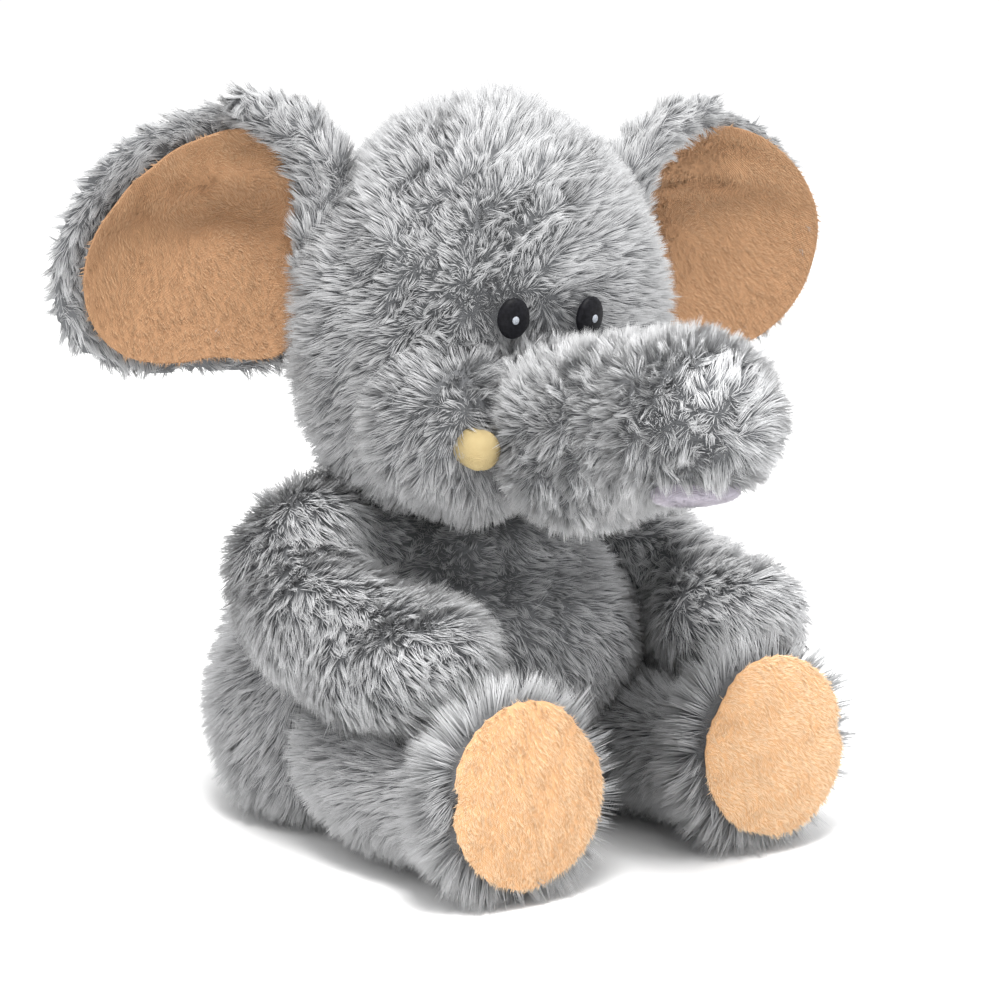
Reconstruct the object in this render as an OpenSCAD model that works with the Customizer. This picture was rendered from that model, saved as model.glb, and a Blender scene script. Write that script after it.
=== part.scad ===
// Seated plush elephant: long-pile covers over soft stuffing, with a pellet pouch in the seat.
// The toy faces -Y, +Z is up, +X is its left side, and the origin is the centre of its flat seat.
// Cover surfaces are the mean height of the pile tips, so the woven backing lies inside them.

/* [Torso] */
// Widest width of the torso
torso_w = 146; // [136:1:150]
// Widest depth of the torso
torso_d = 140; // [130:1:144]
// Height of the middle of the neck ball
neck_z = 86; // [84:1:88]
// Radius of the neck ball that the head turns on
neck_r = 40; // [38:1:41]
// Thickness of a cover, backing and pile together
pile = 7; // [5:0.5:8]

/* [Head] */
// Widest width of the head
head_w = 131; // [124:1:134]
// Widest depth of the head
head_d = 91; // [88:1:96]
// Height of the top of the head
head_top = 241; // [236:1:246]
// Angle that the head is turned to the toy's right
head_turn = 8; // [0:1:10]
// Angle that the head is tipped to the toy's left
head_tip = 3; // [0:0.5:3]
// Distance of the head's middle in front of the seat's middle
head_fwd = 36; // [32:1:38]

/* [Trunk and tusks] */
// Radius of the trunk at its root
trunk_r = 26.5; // [25:0.5:27]
// Radius of the trunk at its tip
trunk_tip_r = 23; // [22:0.5:25]
// Length from the trunk's root joint to the middle of its tip
trunk_len = 94; // [88:1:96]
// Radius of a tusk
tusk_r = 5.8; // [5.2:0.2:6]
// Length of a tusk
tusk_len = 28; // [24:1:30]

/* [Ears] */
// Width of an ear from its root to its outer edge
ear_w = 78; // [72:1:82]
// Height of an ear
ear_h = 91; // [84:1:94]
// Depth of the hollow in an ear's front
ear_cup = 13; // [8:1:14]

/* [Arms and legs] */
// Radius of an arm at the shoulder
arm_r = 22; // [21:0.5:22.5]
// Radius of a leg at the hip
hip_r = 29; // [28:0.5:30]
// Radius of the foot
foot_r = 34.5; // [33:0.5:35]
// Distance of a foot pad in front of the seat's middle
foot_reach = 127; // [124:1:130]
// Distance of a foot's middle from the middle of the toy
foot_x = 50; // [49:1:53]
// Radius of a foot pad
pad_r = 27.5; // [26:0.5:28]

/* [Hidden] */

grey = "#a4a8ae";
peach = "#f3c092";
cream = "#efe0a8";
wool = "#f4f2ec";

clear = 0.6;                         // room between a ball and its socket
skin_gap = 0.3;                      // room between a cover and its stuffing
seat_w = 126;                        // flat face under the torso
seat_d = 120;
neck_y = -30;
tip_z = 180;                         // height about which the head is tipped
shoulder = [58, -24, 91];            // middle of the left shoulder's ball
hip = [48, -46, 31];                 // middle of the left hip's ball
tail_root = [0, 69.5, 34];
tail_r = 8;
tail_len = 44;
trunk_root = [0, -35, 143];          // in the head's own frame, like all trunk places
trunk_bend = trunk_root + [0, -trunk_len * 0.55, 1];
ear_root = [[62, 12, 164], [55, 12, 212]]; // ends of the left ear's root, in the head's frame
ear_roll = 7;                        // radius of the rolled edge at the ear's root
pouch = [0, 24, 36];                 // middle of the pellet pouch
pouch_size = [43, 29, 22];

// ---- shapes ----

function unit(v) = v / norm(v);
function spline(a, b, c, d, t) =
    0.5 * (2 * b + (c - a) * t + (2 * a - 5 * b + 4 * c - d) * t * t + (3 * b - a - 3 * c + d) * t * t * t);
// Rows between given rows, on a smooth curve through all of them.
function smooth(rows, steps) = [
    for (i = [0:len(rows) - 2], j = [0:steps - 1])
        spline(rows[max(i - 1, 0)], rows[i], rows[i + 1], rows[min(i + 2, len(rows) - 1)], j / steps),
    rows[len(rows) - 1]
];
// A level oval ring from a row [height, half width, half depth, middle's y].
function level(row, n) = [
    for (i = [0:n - 1]) [row[1] * cos(360 * i / n), row[3] + row[2] * sin(360 * i / n), row[0]]
];
// The same rows moved inward by t all round.
function inset(rows, t) = let (z0 = rows[0][0], z1 = rows[len(rows) - 1][0], k = (z1 - z0 - 2 * t) / (z1 - z0))
    [for (r = rows) [z0 + t + (r[0] - z0) * k, max(r[1] - t, 1), max(r[2] - t, 1), r[3]]];
// A ring across a limb from a row [x, y, z, half width, half height] and the limb's direction.
function across(row, dir, n) = let (t = unit(dir), s = unit([1, 0, 0] - t * t[0]), u = cross(s, t))
    [for (i = [0:n - 1]) [row[0], row[1], row[2]] + s * row[3] * cos(360 * i / n) + u * row[4] * sin(360 * i / n)];
function place(row) = [row[0], row[1], row[2]];
// Rows of a round end: half a ball pushed along dir, from the angle a0 to a1.
function dome(row, dir, a0, a1, steps) = [
    for (i = [0:steps]) let (a = a0 + (a1 - a0) * i / steps, c = place(row) + unit(dir) * min(row[3], row[4]) * sin(a))
        [c[0], c[1], c[2], row[3] * cos(a), row[4] * cos(a)]
];

// Skin over a stack of rings that all have as many points.
module loft(rings) {
    n = len(rings[0]);
    last = (len(rings) - 1) * n;
    sides = [
        for (i = [0:len(rings) - 2], j = [0:n - 1]) let (a = i * n, b = a + n, k = (j + 1) % n)
            each [[a + j, b + j, b + k], [a + j, b + k, a + k]]
    ];
    ends = [[for (j = [0:n - 1]) j], [for (j = [n - 1:-1:0]) last + j]];
    polyhedron(points = [for (r = rings) each r], faces = concat(ends, sides), convexity = 6);
}

inner_sides = 20;                     // sides of the hidden insides of covers

module body(rows, n = 32) {
    loft([for (r = rows) level(r, n)]);
}

// Rings of a limb along rows [x, y, z, half width, half height], with round ends unless turned off.
// A ring faces along the limb, or past its middle along the direction face where that is given.
function limb_rings(rows, n, root, tip, face) = let (
    last = len(rows) - 1,
    d0 = place(rows[0]) - place(rows[1]),
    d1 = place(rows[last]) - place(rows[last - 1]),
    all = concat(
        root ? dome(rows[0], d0, 82, 18, 4) : [],
        rows,
        tip ? dome(rows[last], d1, 18, 82, 4) : []
    ),
    m = len(all) - 1
) [
    for (i = [0:m]) let (along = place(all[min(i + 1, m)]) - place(all[max(i - 1, 0)]))
        across(all[i], face == undef || i < m * 0.6 ? -along : -face, n)
];

module limb(rows, n = 24, root = true, tip = true, face = undef) {
    loft(limb_rings(rows, n, root, tip, face));
}

function thinner(rows, t) = [for (r = rows) [r[0], r[1], r[2], r[3] - t, r[4] - t]];

// Mirrors a left piece to the right.
module side(right) {
    mirror([right ? 1 : 0, 0, 0]) children();
}

module head_frame() {
    translate([0, -head_fwd, tip_z]) rotate([0, head_tip, -head_turn]) translate([0, 0, -tip_z]) children();
}

module ball(at, r) {
    translate(at) sphere(r = r, $fn = 48);
}

// An oval ball with half sizes in size.
module oval(at, size, n = 20, steps = 8) {
    translate(at) loft([
        for (i = [0:steps]) let (a = 86 - 172 * i / steps)
            level([-size[2] * sin(a), size[0] * cos(a), size[1] * cos(a), 0], n)
    ]);
}

// ---- torso ----

torso_rows = smooth([
    [0, seat_w / 2, seat_d / 2, 0],
    [7, torso_w * 0.475, torso_d * 0.475, 0],
    [32, torso_w / 2, torso_d / 2, 1],
    [60, torso_w * 0.475, torso_d * 0.47, -3],
    [84, torso_w * 0.385, torso_d * 0.39, -11],
    [neck_z + neck_r * sin(24), neck_r * cos(22), neck_r * cos(22), neck_y],
    [neck_z + neck_r * sin(46), neck_r * cos(46), neck_r * cos(46), neck_y],
    [neck_z + neck_r * sin(64), neck_r * cos(64), neck_r * cos(64), neck_y],
    [neck_z + neck_r * sin(82), neck_r * cos(82), neck_r * cos(82), neck_y]
], 2);

module torso_sockets(extra = 0) {
    for (right = [false, true]) side(right) {
        ball(shoulder, arm_r + clear + extra);
        ball(hip, hip_r + clear + extra);
        // Hollows pressed into the torso by the resting arm and leg.
        translate(shoulder) rotate([90 + 22, 0, 20]) cylinder(r = arm_r + clear / 3 + extra, h = 48, $fn = 48);
        translate(hip) rotate([90, 0, 0]) cylinder(r = hip_r + clear / 3 + extra, h = 40, $fn = 48);
    }
    ball(tail_root, tail_r + clear + extra);
}

module torso_cover() {
    color(grey) difference() {
        body(torso_rows);
        body(inset(torso_rows, pile), inner_sides);
        translate([0, neck_y, neck_z]) cylinder(r = 15, h = neck_r + 9, $fn = 48);
        torso_sockets();
    }
}

module torso_stuffing() {
    color(wool) difference() {
        body(inset(torso_rows, pile + skin_gap), inner_sides);
        ball([0, neck_y, neck_z], 17 + clear);
        oval(pouch, pouch_size + [skin_gap, skin_gap, skin_gap]);
        torso_sockets(skin_gap);
    }
}

module pellet_pouch() {
    color("#e6e2d6") difference() {
        oval(pouch, pouch_size);
        oval(pouch, pouch_size - [1.5, 1.5, 1.5]);
    }
}

module pellet_filling() {
    color("#c9ae84") oval(pouch, pouch_size - [1.8, 1.8, 1.8]);
}

neck_plug_r = 17;

module neck_plug() {
    color(wool) ball([0, neck_y, neck_z], neck_plug_r);
}

module care_label() {
    color(wool) translate([34, 62.5, 12]) rotate([0, 0, -28]) cube([0.8, 24, 18]);
}

// ---- head ----

head_rows = smooth([
    [106, head_w * 0.2, head_d * 0.24, 0],
    [111, head_w * 0.33, head_d * 0.36, 0],
    [124, head_w * 0.425, head_d * 0.44, 0],
    [144, head_w * 0.485, head_d * 0.485, 0],
    [168, head_w * 0.5, head_d * 0.5, 0],
    [192, head_w * 0.465, head_d * 0.475, 0],
    [211, head_w * 0.385, head_d * 0.41, 0],
    [227, head_w * 0.275, head_d * 0.31, 0],
    [head_top - 3.5, head_w * 0.14, head_d * 0.17, 0],
    [head_top, head_w * 0.04, head_d * 0.05, 0]
], 2);

module ear_root_roll(r, over = 0) {
    a = ear_root[0];
    d = ear_root[1] - a;
    translate(a - unit(d) * over) rotate([0, atan2(d[0], d[2]), 0])
        cylinder(r = r, h = norm(d) + 2 * over, $fn = 32);
}

module head_sockets(extra = 0) {
    ball([0, neck_y, neck_z], neck_r + clear + extra);
    head_frame() {
        ball(trunk_root, trunk_r + 1.5 * clear + extra);
        for (right = [false, true]) side(right) {
            ear_root_roll(ear_roll + clear + extra, ear_roll + clear);
            tusk_solid(tusk_r + 0.2 + extra, tusk_len + 0.4);
            eye_solid(eye_size + [0.15, 0.15, 0.15]);
        }
    }
}

module head_cover() {
    color(grey) difference() {
        head_frame() body(head_rows);
        head_frame() body(inset(head_rows, pile), inner_sides);
        head_sockets();
    }
}

module head_stuffing() {
    color(wool) difference() {
        head_frame() body(inset(head_rows, pile + skin_gap), inner_sides);
        head_sockets(skin_gap);
    }
}

eye_at = [13.8, -44.6, 174];
eye_size = [4.9, 1.8, 6.3];

module eye_solid(size) {
    translate(eye_at) rotate([6, 0, 12]) oval([0, 0, 0], size, 16, 6);
}

module eye(right) {
    color("#141414") head_frame() side(right) difference() {
        eye_solid(eye_size);
        eye_highlight_solid(0.95);
    }
}

module eye_highlight_solid(r) {
    translate(eye_at + [-0.6, -eye_size[1], -1]) sphere(r = r, $fn = 24);
}

// A small thread cross-stitch on the eye's front.
module eye_highlight(right) {
    color(wool) head_frame() side(right) eye_highlight_solid(0.9);
}

tusk_at = [34.2, -31, 137.5];
tusk_turn = [6, 0, -3];

// A tusk lies beside the trunk's root and points forward and a little down.
module tusk_solid(r, len, root = 0) {
    translate(tusk_at) rotate(tusk_turn) translate([0, -len, 0]) {
        rotate([-90, 0, 0]) cylinder(r = r, h = len + root, $fn = 32);
        sphere(r = r, $fn = 32);
    }
}

module tusk_cover(right) {
    color(cream) head_frame() side(right) difference() {
        tusk_solid(tusk_r, tusk_len);
        tusk_solid(tusk_r - 1.2, tusk_len, 1);
    }
}

module tusk_stuffing(right) {
    color(wool) head_frame() side(right) tusk_solid(tusk_r - 1.5, tusk_len);
}

// ---- trunk, in two lengths that bend on each other ----

bend_r = 24;
root_rows = smooth([
    [0, trunk_root[1], trunk_root[2], trunk_r, trunk_r],
    [0, trunk_root[1] - 20, trunk_root[2] - 0.5, trunk_r - 2.5, trunk_r - 2.5],
    [0, trunk_bend[1] + 4, trunk_bend[2], bend_r + 1.8, bend_r + 1.8]
], 3);
tip_rows = smooth([
    [0, trunk_bend[1], trunk_bend[2], bend_r, bend_r],
    [0, trunk_bend[1] - 16, trunk_bend[2] + 3, trunk_tip_r + 0.5, trunk_tip_r],
    [0, trunk_root[1] - trunk_len, trunk_bend[2] + 8, trunk_tip_r, trunk_tip_r]
], 3);
disc_at = [0, trunk_root[1] - trunk_len - 3, trunk_bend[2] + 11.5 - trunk_tip_r]; // under the tip
disc_r = 13.5;
disc_tilt = -12;

disc_h = 7;

// A cylinder on the disc's own axis, from its top down to low below its middle.
module at_disc(r, top, low) {
    translate(disc_at) rotate([disc_tilt, 0, 0]) translate([0, 0, -low])
        cylinder(r = r, h = top + low, $fn = 48);
}

module disc_place() {
    at_disc(disc_r + 0.3, disc_h / 2 + 0.5, 4 * disc_h);
}

module trunk_root_cover() {
    color(grey) head_frame() difference() {
        limb(root_rows, tip = false);
        limb(thinner(root_rows, pile), inner_sides, tip = false);
        ball(trunk_bend, bend_r + clear);
        translate(trunk_bend + [-40, -16, -40]) cube([80, 24, 80]);
    }
}

module trunk_root_stuffing() {
    color(wool) head_frame() difference() {
        limb(thinner(root_rows, pile + skin_gap), inner_sides, tip = false);
        ball(trunk_bend, bend_r + clear);
    }
}

module trunk_tip_cover() {
    color(grey) head_frame() difference() {
        limb(tip_rows);
        limb(thinner(tip_rows, pile), inner_sides);
        disc_place();
    }
}

module trunk_tip_stuffing() {
    color(wool) head_frame() difference() {
        limb(thinner(tip_rows, pile + skin_gap), inner_sides);
        disc_place();
    }
}

module trunk_tip_pad() {
    color("#b6b3c4") head_frame() at_disc(disc_r, disc_h / 2, disc_h / 2);
}

// ---- ears: furry back, thin batting and short-pile lining, cupped to the front ----

ear_in = 56;                          // where the ear plates start
ear_mid = [ear_in + ear_w / 2, 195.5]; // middle of the ear, across and up

// The right ear hangs fuller at its outer bottom and the left ear at its outer top.
ear_full = 0.22;
function ear_droop(right) = right ? -40 : 35;

// How far an ear leans back for each length outward: the right ear lies further back.
function ear_sweep(right) = right ? 0.24 : 0.06;

// A point of the ear's plate: p runs from its middle to its edge, a goes round, y counts back.
function ear_point(p, a, y, right) = let (
    droop = ear_droop(right),
    bulge = 1 + ear_full * (cos(a - droop) - cos(droop)) * (cos(a) + 1) / 2,
    u = ear_mid[0] + ear_w / 2 * p * cos(a) * bulge,
    z = ear_mid[1] + ear_h / 2 * p * sin(a) * bulge
) [u, ear_root[0][1] + (u - ear_in) * ear_sweep(right) + ear_cup * (1 - p * p) * 0.8 + y, z];

module ear_plate(right, p1, y0, y1) {
    steps = 4;
    n = 28;
    rows = concat([for (i = [1:steps]) [i, y1]], [for (i = [steps:-1:1]) [i, y0]]);
    loft([for (r = rows) [for (j = [0:n - 1]) ear_point(p1 * r[0] / steps, 360 * j / n, r[1], right)]]);
}

module ear_back(right) {
    color(grey) head_frame() side(right) difference() {
        union() {
            ear_root_roll(ear_roll);
            ear_plate(right, 1, -4.5, 5.5);
        }
        ear_plate(right, 0.86, -9, -1.6);
    }
}

module ear_batting(right) {
    color(wool) head_frame() side(right) ear_plate(right, 0.84, -3.3, -1.9);
}

module ear_lining(right) {
    color(peach) head_frame() side(right) ear_plate(right, 0.85, -5.2, -3.6);
}

// ---- arms ----

// The right hand lies further in than the left one.
function arm_rows(hand_x) = smooth([
    [shoulder[0], shoulder[1], shoulder[2], arm_r, arm_r],
    [shoulder[0] + 8, shoulder[1] - 20, shoulder[2] - 9, arm_r - 0.5, arm_r - 2],
    [(shoulder[0] + hand_x) / 2 + 7, shoulder[1] - 42, shoulder[2] - 14, arm_r - 1.5, arm_r - 4.5],
    [hand_x, shoulder[1] - 63, shoulder[2] - 15.5, arm_r - 2, arm_r - 5.5]
], 2);

function hand_x(right) = right ? 51 : 58;

module arm_cover(right) {
    color(grey) side(right) difference() {
        limb(arm_rows(hand_x(right)));
        limb(thinner(arm_rows(hand_x(right)), pile), inner_sides);
    }
}

module arm_stuffing(right) {
    color(wool) side(right) limb(thinner(arm_rows(hand_x(right)), pile + skin_gap), inner_sides);
}

// ---- legs ----

ankle_r = 25;
sole_y = -foot_reach;
// Rows of the leg, thinner by t, that stop short of the sole by back.
function leg_rows(t, back) = smooth([
    [hip[0], hip[1], hip[2], hip_r - t, hip_r - t],
    [hip[0] + 1, hip[1] - 22, hip[2] - 2.5, ankle_r + 3 - t, ankle_r + 1 - t],
    [foot_x, sole_y + 28, 28.5, ankle_r + 3 - t, ankle_r - t],
    [foot_x, sole_y + 10 + back / 2, foot_r, foot_r - t, foot_r - t],
    [foot_x, sole_y + 3 + back, foot_r + 0.2, foot_r - 2.5 - t, foot_r - 2 - t]
], 2);

sole_lean = 4;                        // the sole leans back a little at its top
sole_face = [0, -cos(sole_lean), sin(sole_lean)];

// A disc in the sole, from the depth y0 to y1 behind its front.
module at_sole(r, y0, y1) {
    translate([foot_x, sole_y, foot_r + 0.5]) rotate([90 - sole_lean, 0, 0]) translate([0, 0, -y1])
        cylinder(r = r, h = y1 - y0, $fn = 64);
}

// The cover is one open shell: outside, round the rim that holds the pad, and back along the inside.
module leg_cover(right) {
    outside = limb_rings(leg_rows(0, 0), 24, true, false, sole_face);
    inside = limb_rings(leg_rows(pile, 5), 24, true, false, sole_face);
    rim = [
        for (y = [0.5, 6]) let (c = [foot_x, sole_y, foot_r + 0.5] - sole_face * y, r = pad_r + skin_gap)
            across([c[0], c[1], c[2], r, r], -sole_face, 24)
    ];
    color(grey) side(right) loft(concat(outside, rim, [for (i = [len(inside) - 1:-1:0]) inside[i]]));
}

module leg_stuffing(right) {
    color(wool) side(right) limb(leg_rows(pile + skin_gap, 5 + skin_gap), 24, tip = false, face = sole_face);
}

module foot_pad(right) {
    color(peach) side(right) at_sole(pad_r, 1, 5);
}

// ---- tail ----

tail_rows = smooth([
    [0, tail_root[1], tail_root[2], tail_r, tail_r],
    [0, tail_root[1] + tail_len * 0.4, tail_root[2] - 6, tail_r - 2, tail_r - 2],
    [0, tail_root[1] + tail_len * 0.8, tail_root[2] - 16, tail_r + 0.5, tail_r + 0.5]
], 2);

module tail_cover() {
    color(grey) difference() {
        limb(tail_rows, 16);
        limb(thinner(tail_rows, 4.5), 12);
    }
}

module tail_stuffing() {
    color(wool) limb(thinner(tail_rows, 4.8), 12);
}

torso_cover();
torso_stuffing();
pellet_pouch();
pellet_filling();
neck_plug();
care_label();
head_cover();
head_stuffing();
eye(false);  // left_eye
eye(true);  // right_eye
eye_highlight(false);  // left_eye_highlight
eye_highlight(true);  // right_eye_highlight
tusk_cover(false);  // left_tusk_cover
tusk_cover(true);  // right_tusk_cover
tusk_stuffing(false);  // left_tusk_stuffing
tusk_stuffing(true);  // right_tusk_stuffing
trunk_root_cover();
trunk_root_stuffing();
trunk_tip_cover();
trunk_tip_stuffing();
trunk_tip_pad();
ear_back(false);  // left_ear_back
ear_back(true);  // right_ear_back
ear_batting(false);  // left_ear_batting
ear_batting(true);  // right_ear_batting
ear_lining(false);  // left_ear_lining
ear_lining(true);  // right_ear_lining
arm_cover(false);  // left_arm_cover
arm_cover(true);  // right_arm_cover
arm_stuffing(false);  // left_arm_stuffing
arm_stuffing(true);  // right_arm_stuffing
leg_cover(false);  // left_leg_cover
leg_cover(true);  // right_leg_cover
leg_stuffing(false);  // left_leg_stuffing
leg_stuffing(true);  // right_leg_stuffing
foot_pad(false);  // left_foot_pad
foot_pad(true);  // right_foot_pad
tail_cover();
tail_stuffing();
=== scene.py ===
import math
import bpy
import numpy as np
from mathutils import Matrix, Vector, kdtree


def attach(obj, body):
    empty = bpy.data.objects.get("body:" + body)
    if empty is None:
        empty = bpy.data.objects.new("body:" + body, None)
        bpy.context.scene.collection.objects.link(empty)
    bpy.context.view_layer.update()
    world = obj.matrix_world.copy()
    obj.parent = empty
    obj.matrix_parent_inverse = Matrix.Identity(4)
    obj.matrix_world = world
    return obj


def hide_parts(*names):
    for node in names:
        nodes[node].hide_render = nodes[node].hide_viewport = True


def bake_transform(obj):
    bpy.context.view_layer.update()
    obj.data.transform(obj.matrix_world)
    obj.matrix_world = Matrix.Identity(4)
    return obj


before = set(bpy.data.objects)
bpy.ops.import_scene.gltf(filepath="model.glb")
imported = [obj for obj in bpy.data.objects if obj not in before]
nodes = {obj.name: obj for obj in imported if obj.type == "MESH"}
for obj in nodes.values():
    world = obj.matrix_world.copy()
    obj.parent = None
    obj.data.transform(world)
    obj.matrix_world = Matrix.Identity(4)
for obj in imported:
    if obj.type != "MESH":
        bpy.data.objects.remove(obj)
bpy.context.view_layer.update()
mm = 0.001
toySides = {"right": -1, "left": 1}
print("frame loaded:", len(nodes), "nodes")

# the head's own place, turned to the toy's right and tipped to its left
headPose = {"forward": 36 * mm, "tipHeight": 180 * mm, "turn": -8, "tip": 3}
headMatrix = (
    Matrix.Translation((0, -headPose["forward"], headPose["tipHeight"]))
    @ Matrix.Rotation(math.radians(headPose["turn"]), 4, "Z")
    @ Matrix.Rotation(math.radians(headPose["tip"]), 4, "Y")
    @ Matrix.Translation((0, 0, -headPose["tipHeight"]))
)


def onHead(x, y, z):  # a point given in the head's own frame, in mm
    return headMatrix @ (Vector((x, y, z)) * mm)


def headWay(x, y, z):  # a direction given in the head's own frame
    return np.array(headMatrix.to_3x3() @ Vector((x, y, z)))


# ---- camera, light and floor ----
cameraSpot = {"at": (-837.9, -1118.2, 370), "lookAt": (-56, -117.4, 125), "lens": 155}
cameraData = bpy.data.cameras.new("camera")
cameraData.sensor_fit = "HORIZONTAL"
cameraData.sensor_width = 36
cameraData.lens = cameraSpot["lens"]
cameraData.clip_start, cameraData.clip_end = 0.05, 60
camera = bpy.data.objects.new("camera", cameraData)
camera.location = Vector(cameraSpot["at"]) * mm
aim = (Vector(cameraSpot["lookAt"]) - Vector(cameraSpot["at"])) * mm
camera.rotation_mode = "QUATERNION"
camera.rotation_quaternion = aim.to_track_quat("-Z", "Y")
bpy.context.collection.objects.link(camera)
bpy.context.scene.camera = camera
bpy.context.scene.view_settings.view_transform = "Standard"

lightSetup = [  # name, place, size, watts, colour
    ("keyLight", (-0.55, -0.75, 1.9), 0.7, 52, (1.0, 0.99, 0.98)),
    ("fillLight", (0.9, -1.5, 0.9), 1.0, 6, (0.98, 0.99, 1.0)),
    ("topLight", (0.1, 0.4, 1.9), 1.2, 8, (1, 1, 1)),
]
for name, at, size, watts, colour in lightSetup:
    lamp = bpy.data.lights.new(name, "AREA")
    lamp.size, lamp.energy, lamp.color = size, watts, colour
    holder = bpy.data.objects.new(name, lamp)
    holder.location = at
    holder.rotation_mode = "QUATERNION"
    holder.rotation_quaternion = (Vector((-0.02, -0.06, 0.1)) - Vector(at)).to_track_quat("-Z", "Y")
    bpy.context.collection.objects.link(holder)

world = bpy.data.worlds.new("studio")
bpy.context.scene.world = world
world.use_nodes = True
world.node_tree.nodes["Background"].inputs["Color"].default_value = (1, 1, 1, 1)
world.node_tree.nodes["Background"].inputs["Strength"].default_value = 1.0


# ---- small helpers ----
def selectOnly(*objects):
    if bpy.context.object and bpy.context.object.mode != "OBJECT":
        bpy.ops.object.mode_set(mode="OBJECT")
    bpy.ops.object.select_all(action="DESELECT")
    for o in objects:
        o.select_set(True)
    bpy.context.view_layer.objects.active = objects[0]


def applyModifier(o, kind, **values):
    selectOnly(o)
    m = o.modifiers.new(kind.lower(), kind)
    for key, value in values.items():
        setattr(m, key, value)
    bpy.ops.object.modifier_apply(modifier=m.name)


def readMesh(o):  # places, triangles and vertex normals of an object
    me = o.data
    me.calc_loop_triangles()
    v = np.zeros(len(me.vertices) * 3)
    me.vertices.foreach_get("co", v)
    f = np.zeros(len(me.loop_triangles) * 3, np.int64)
    me.loop_triangles.foreach_get("vertices", f)
    n = np.zeros(len(me.vertices) * 3)
    me.vertex_normals.foreach_get("vector", n)
    return v.reshape(-1, 3), f.reshape(-1, 3), n.reshape(-1, 3)


def unitRows(a):
    return a / np.maximum(np.linalg.norm(a, axis=1, keepdims=True), 1e-12)


# ---- materials ----
def newMaterial(name):
    m = bpy.data.materials.new(name)
    m.use_nodes = True
    return m, m.node_tree.nodes, m.node_tree.links, m.node_tree.nodes["Principled BSDF"]


def addNode(tree, kind, **values):
    n = tree.new(kind)
    for key, value in values.items():
        setattr(n, key, value)
    return n


def ramp(tree, stops):
    n = tree.new("ShaderNodeValToRGB")
    bar = n.color_ramp
    while len(bar.elements) < len(stops):
        bar.elements.new(0.5)
    for e, (at, colour) in zip(bar.elements, stops):
        e.position, e.color = at, (*colour, 1)
    return n


def makePileTint():  # tint of one strand: root to tip, with the root darker as painted shade deep in the pile, times its lock's tone (raised by painted light on some coats) and its own tone
    g = bpy.data.node_groups.new("pileTint", "ShaderNodeTree")
    for name, kind, value in (
        ("Root", "NodeSocketColor", None), ("Tip", "NodeSocketColor", None),
        ("Lock spread", "NodeSocketFloat", 0.2), ("Strand spread", "NodeSocketFloat", 0.15),
    ):
        s = g.interface.new_socket(name, in_out="INPUT", socket_type=kind)
        if value is not None:
            s.default_value = value
    g.interface.new_socket("Color", in_out="OUTPUT", socket_type="NodeSocketColor")
    t, l = g.nodes, g.links
    gin, gout = t.new("NodeGroupInput"), t.new("NodeGroupOutput")
    lock = addNode(t, "ShaderNodeAttribute", attribute_name="lock")
    parts = t.new("ShaderNodeSeparateColor")
    l.new(lock.outputs["Color"], parts.inputs["Color"])
    along = addNode(t, "ShaderNodeMapRange", interpolation_type="SMOOTHSTEP")
    along.inputs["From Max"].default_value = 0.85
    l.new(parts.outputs["Red"], along.inputs["Value"])
    mix = addNode(t, "ShaderNodeMix", data_type="RGBA")
    l.new(along.outputs["Result"], mix.inputs["Factor"])
    l.new(gin.outputs["Root"], mix.inputs[6])
    l.new(gin.outputs["Tip"], mix.inputs[7])
    shades = []
    for channel, spread in (("Green", "Lock spread"), ("Blue", "Strand spread")):
        centred = addNode(t, "ShaderNodeMath", operation="SUBTRACT")
        l.new(parts.outputs[channel], centred.inputs[0])
        centred.inputs[1].default_value = 0.5
        grow = addNode(t, "ShaderNodeMath", operation="MULTIPLY_ADD")
        l.new(centred.outputs[0], grow.inputs[0])
        l.new(gin.outputs[spread], grow.inputs[1])
        grow.inputs[2].default_value = 1
        shades.append(grow)
    both = addNode(t, "ShaderNodeMath", operation="MULTIPLY")
    l.new(shades[0].outputs[0], both.inputs[0])
    l.new(shades[1].outputs[0], both.inputs[1])
    out = addNode(t, "ShaderNodeVectorMath", operation="SCALE")
    l.new(mix.outputs[2], out.inputs[0])
    l.new(both.outputs[0], out.inputs["Scale"])
    l.new(out.outputs[0], gout.inputs["Color"])
    return g


pileTint = makePileTint()


def pileMaterial(name, root, tip, lockSpread, strandSpread, roughness, sheen):
    m, t, l, shader = newMaterial(name)
    g = addNode(t, "ShaderNodeGroup", node_tree=pileTint)
    g.inputs["Root"].default_value = (*root, 1)
    g.inputs["Tip"].default_value = (*tip, 1)
    g.inputs["Lock spread"].default_value = lockSpread
    g.inputs["Strand spread"].default_value = strandSpread
    l.new(g.outputs["Color"], shader.inputs["Base Color"])
    shader.inputs["Roughness"].default_value = roughness
    shader.inputs["Sheen Weight"].default_value = sheen
    shader.inputs["Sheen Roughness"].default_value = 0.4
    shader.inputs["Specular IOR Level"].default_value = 0.3
    return m


# each pile's root colour is darker than its tip: painted shade deep in the pile
greyPile = pileMaterial("greyPile", (0.21, 0.214, 0.22), (0.53, 0.535, 0.543), 0.2, 0.24, 0.65, 0.15)
peachPile = pileMaterial("peachPile", (0.70, 0.42, 0.23), (0.85, 0.62, 0.40), 0.12, 0.24, 0.6, 0.2)
# the ear lining's pile: a darker copy of the peach pile, as painted shade in the ear's cup
paintedShadeLiningPile = pileMaterial("paintedShadeLiningPile", (0.36, 0.20, 0.10), (0.47, 0.29, 0.165), 0.1, 0.24, 0.6, 0.2)
lilacPile = pileMaterial("lilacPile", (0.26, 0.245, 0.28), (0.42, 0.40, 0.45), 0.08, 0.12, 0.6, 0.3)
creamPile = pileMaterial("creamPile", (0.38, 0.30, 0.14), (0.48, 0.39, 0.21), 0.06, 0.08, 0.6, 0.25)


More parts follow.
